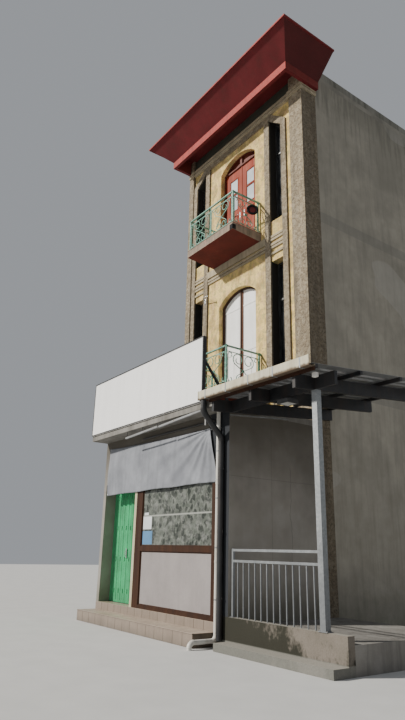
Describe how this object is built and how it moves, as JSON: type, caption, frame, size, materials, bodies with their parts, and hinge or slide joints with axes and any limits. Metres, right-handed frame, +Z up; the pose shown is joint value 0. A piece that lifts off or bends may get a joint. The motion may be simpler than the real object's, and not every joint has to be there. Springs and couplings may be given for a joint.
{
  "type": "terraced corner shop building",
  "caption": "Narrow terraced shop building with arched balcony doors, slot windows, iron balconies, a flared cornice, a shop projecting to the street and a covered side terrace.",
  "frame": {"origin": "on the ground, in the plane of the tower front, under the middle of the balcony doors", "axes": "+X along the street front to the right seen from the street, +Y into the building, +Z up"},
  "size_m": [7.79, 12.6015, 13.255],
  "materials": {
    "floor_tile": "semi-gloss floor tiles",
    "step_tile": "beige step tiles with dirty joints",
    "plaster": "painted plaster, stained, with a fine crack",
    "party_plaster": "plain weathered cement plaster",
    "concrete": "grey concrete",
    "roof_concrete": "weathered concrete",
    "stained_concrete": "concrete with dark algae stains",
    "brown_timber": "brown varnished timber",
    "dark_timber": "faded brown timber",
    "red_timber": "red-brown painted timber",
    "orange_timber": "orange-red painted timber",
    "panel_board": "off-white panel with faint marks",
    "white_board": "white boards",
    "shop_glass": "glass pasted over with grey paper",
    "clear_glass": "window glass",
    "dark_glass": "dark window glass",
    "cream_paint": "cream paint",
    "green_shutter": "green painted sheet steel",
    "sign_face": "plain white sheet",
    "dark_steel": "dark grey painted steel, worn",
    "grey_steel": "grey painted steel tube",
    "banner_cloth": "white cloth, wrinkled",
    "ribbed_sheet": "ribbed steel sheet",
    "gutter_paint": "cream painted sheet, rusty at the lower lip",
    "lamp_case": "grey lamp case",
    "yellow_stone": "cream-yellow mottled stone facing",
    "rough_stone": "exposed aggregate render, grey-brown",
    "moulding_stone": "smooth cast stone mouldings",
    "maroon_paint": "maroon painted concrete",
    "balcony_stone": "rough render edge with a maroon underside",
    "green_iron": "teal-green painted wrought iron, chipped",
    "grey_aluminium": "grey window frames",
    "back_door_paint": "grey-brown painted steel door",
    "white_pipe": "white plastic pipe, dirty"
  },
  "bodies": {
    "root": {"shop_floor": "floor_tile", "steps": "step_tile", "shop_wall_left": "plaster", "shop_wall_right": "plaster", "shop_bulkhead": "plaster", "shop_roof": "concrete", "shop_window_frame": "brown_timber", "shop_window_panel": "panel_board", "shop_window_glass": "shop_glass", "shutter_post": "cream_paint", "folding_shutter": "green_shutter", "sign_board": "sign_face", "sign_frame": "dark_steel", "banner": "banner_cloth", "terrace_floor": "concrete", "terrace_wall": "stained_concrete", "terrace_railing": "grey_steel", "canopy_posts": "grey_steel", "canopy_beams": "dark_steel", "canopy_roof": "ribbed_sheet", "canopy_gutter": "gutter_paint", "gutter_board": "brown_timber", "gutter_drain": "dark_steel", "floodlight": "lamp_case", "party_wall_left": "party_plaster", "party_wall_right": "party_plaster", "rear_wall": "party_plaster", "floor_2": "concrete", "floor_3": "concrete", "roof_slab": "maroon_paint", "roof_parapet": "roof_concrete", "facade_beam": "yellow_stone", "front_wall_2": "yellow_stone", "front_wall_3": "yellow_stone", "left_pilaster": "rough_stone", "right_pier": "rough_stone", "facade_strips": "rough_stone", "wall_mouldings": "moulding_stone", "cornice": "maroon_paint", "balcony_slab_2": "balcony_stone", "balcony_slab_3": "balcony_stone", "balcony_rail_2": "green_iron", "balcony_rail_3": "green_iron", "door_frame_2": "dark_timber", "door_frame_3": "red_timber", "door_boards_2": "white_board", "door_leaves_3": "orange_timber", "door_glass_3": "clear_glass", "window_frames": "grey_aluminium", "window_glass": "dark_glass", "back_door": "back_door_paint", "pipes": "white_pipe"}
  },
  "joints": []
}
